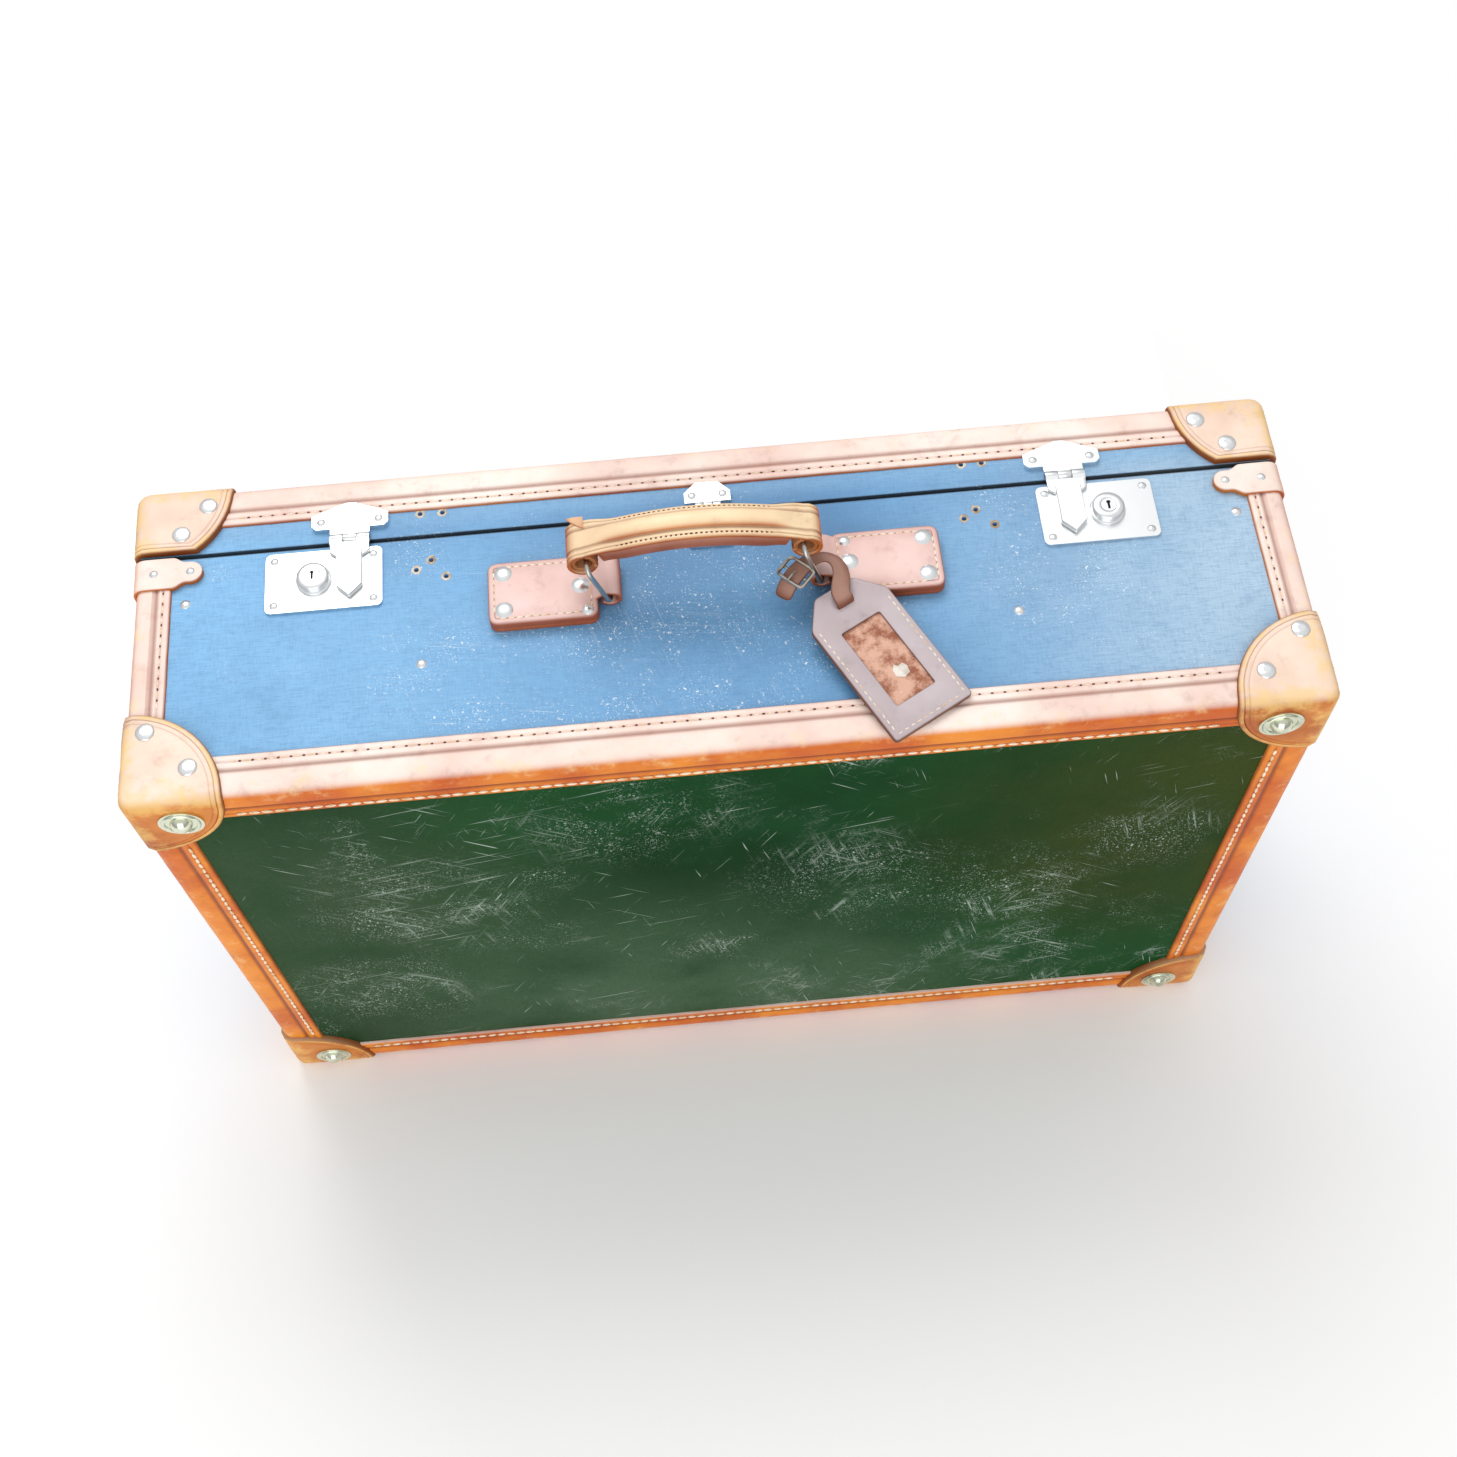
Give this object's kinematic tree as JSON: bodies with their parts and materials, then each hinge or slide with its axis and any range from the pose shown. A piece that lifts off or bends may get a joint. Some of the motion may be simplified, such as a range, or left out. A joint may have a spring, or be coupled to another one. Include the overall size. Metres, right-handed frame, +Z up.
{
  "type": "suitcase",
  "caption": "Hard suitcase of covered boards with stitched leather bindings, corner caps, latching locks, a ringed carrying handle and a luggage tag.",
  "frame": {"origin": "bottom centre of the case standing on its hinge side", "axes": "+X along the case, +Y from the base panel to the lid panel, +Z up to the handle"},
  "size_m": [0.6732, 0.2166, 0.502],
  "materials": {
    "cloth_board": "slate-blue coated cloth on fibre board, scuffed",
    "panel_board": "very dark green coated cloth on fibre board, scratched",
    "rim_wood": "bare thin wood",
    "lining_cloth": "plain cotton on card",
    "binding_leather": "tan hide, creased and stitched",
    "cap_leather": "tan hide, moulded and scuffed",
    "nickel": "dull nickel plate",
    "hinge_steel": "plain steel",
    "pad_leather": "reddish hide, stitched",
    "ring_wire": "drawn steel wire",
    "grip_leather": "tan hide, stitched",
    "core_leather": "brown hide over a padded core",
    "tag_hide": "dark hide with raw edges",
    "tag_paper": "worn card"
  },
  "bodies": {
    "base": {"base_handle_wall": "cloth_board", "base_hinge_wall": "cloth_board", "base_left_wall": "cloth_board", "base_right_wall": "cloth_board", "base_panel": "panel_board", "base_rim": "rim_wood", "base_lining": "lining_cloth", "base_panel_binding": "binding_leather", "base_side_bindings": "binding_leather", "seam_tabs": "binding_leather", "base_cap_top_left": "cap_leather", "base_cap_top_right": "cap_leather", "base_cap_bottom_left": "cap_leather", "base_cap_bottom_right": "cap_leather", "base_cap_rivets": "nickel", "base_feet": "nickel", "wall_studs": "nickel", "seam_tab_rivets": "nickel", "lock_plates": "nickel", "lock_plate_rivets": "nickel", "catch_plate": "nickel", "pad_rivets": "nickel", "hinge_base_leaves": "hinge_steel", "hinge_pins": "hinge_steel", "lock_boxes": "hinge_steel", "lock_springs": "hinge_steel", "handle_pads": "pad_leather"},
    "lid": {"lid_panel": "panel_board", "lid_handle_wall": "cloth_board", "lid_hinge_wall": "cloth_board", "lid_left_wall": "cloth_board", "lid_right_wall": "cloth_board", "lid_lining": "lining_cloth", "lid_panel_binding": "binding_leather", "lid_cap_top_left": "cap_leather", "lid_cap_top_right": "cap_leather", "lid_cap_bottom_left": "cap_leather", "lid_cap_bottom_right": "cap_leather", "lid_cap_rivets": "nickel", "hinge_lid_leaves": "hinge_steel", "hasp_brackets": "nickel", "hasp_pins": "nickel", "bracket_rivets": "nickel"},
    "hasp_left": {"hasp_left": "nickel"},
    "hasp_right": {"hasp_right": "nickel"},
    "catch": {"catch_hasp": "nickel"},
    "knob_left": {"knob_left": "nickel", "bolt_left": "hinge_steel"},
    "knob_right": {"knob_right": "nickel", "bolt_right": "hinge_steel"},
    "key_left": {"key_plug_left": "nickel"},
    "key_right": {"key_plug_right": "nickel"},
    "ring_left": {"ring_left": "ring_wire"},
    "ring_right": {"ring_right": "ring_wire"},
    "grip": {"grip_cover": "grip_leather", "grip_core": "core_leather"},
    "tag": {"tag_leather": "tag_hide", "tag_card": "tag_paper", "tag_strap": "tag_hide", "tag_buckle": "ring_wire"}
  },
  "joints": [
    {"name": "lid_hinge", "type": "hinge", "parent": "base", "child": "lid", "pos_m": [0, 0.0592, 0.0024], "axis": [-1, 0, 0], "range_deg": [0, 100]},
    {"name": "hasp_left_flip", "type": "hinge", "parent": "lid", "child": "hasp_left", "pos_m": [-0.2085, 0.0612, 0.4417], "axis": [-1, 0, 0], "range_deg": [0, 125]},
    {"name": "hasp_right_flip", "type": "hinge", "parent": "lid", "child": "hasp_right", "pos_m": [0.2085, 0.0612, 0.4417], "axis": [-1, 0, 0], "range_deg": [0, 125]},
    {"name": "catch_flip", "type": "hinge", "parent": "lid", "child": "catch", "pos_m": [0, 0.0612, 0.4417], "axis": [-1, 0, 0], "range_deg": [0, 125]},
    {"name": "knob_left_slide", "type": "slide", "parent": "base", "child": "knob_left", "axis": [-1, 0, 0], "range_m": [0, 0.006], "stiffness_N_per_m": 300, "springref_m": -0.004, "deforming": ["lock_springs"]},
    {"name": "knob_right_slide", "type": "slide", "parent": "base", "child": "knob_right", "axis": [1, 0, 0], "range_m": [0, 0.006], "stiffness_N_per_m": 300, "springref_m": -0.004, "deforming": ["lock_springs"]},
    {"name": "key_left_turn", "type": "hinge", "parent": "knob_left", "child": "key_left", "pos_m": [-0.229, 0.0345, 0.445], "axis": [0, 0, 1], "range_deg": [0, 90]},
    {"name": "key_right_turn", "type": "hinge", "parent": "knob_right", "child": "key_right", "pos_m": [0.229, 0.0345, 0.445], "axis": [0, 0, 1], "range_deg": [0, 90]},
    {"name": "handle_rock", "type": "hinge", "parent": "base", "child": "ring_left", "pos_m": [-0.06, 0.0149, 0.4459], "axis": [0, 1, 0], "range_deg": [0, 34]},
    {"name": "ring_right_rock", "type": "hinge", "parent": "base", "child": "ring_right", "pos_m": [0.06, 0.0149, 0.4459], "axis": [0, 1, 0], "range_deg": [0, 34]},
    {"name": "grip_level", "type": "hinge", "parent": "ring_left", "child": "grip", "pos_m": [-0.07053, 0.0149, 0.48033], "axis": [0, 1, 0], "range_deg": [-34, 0]},
    {"name": "tag_swing", "type": "hinge", "parent": "base", "child": "tag", "pos_m": [0.06, -0.0018, 0.445], "axis": [0, 0, -1], "range_deg": [0, 30]}
  ],
  "couplings": [
    {"joint": "ring_right_rock", "follows": "handle_rock", "ratio": 1},
    {"joint": "grip_level", "follows": "handle_rock", "ratio": -1}
  ]
}
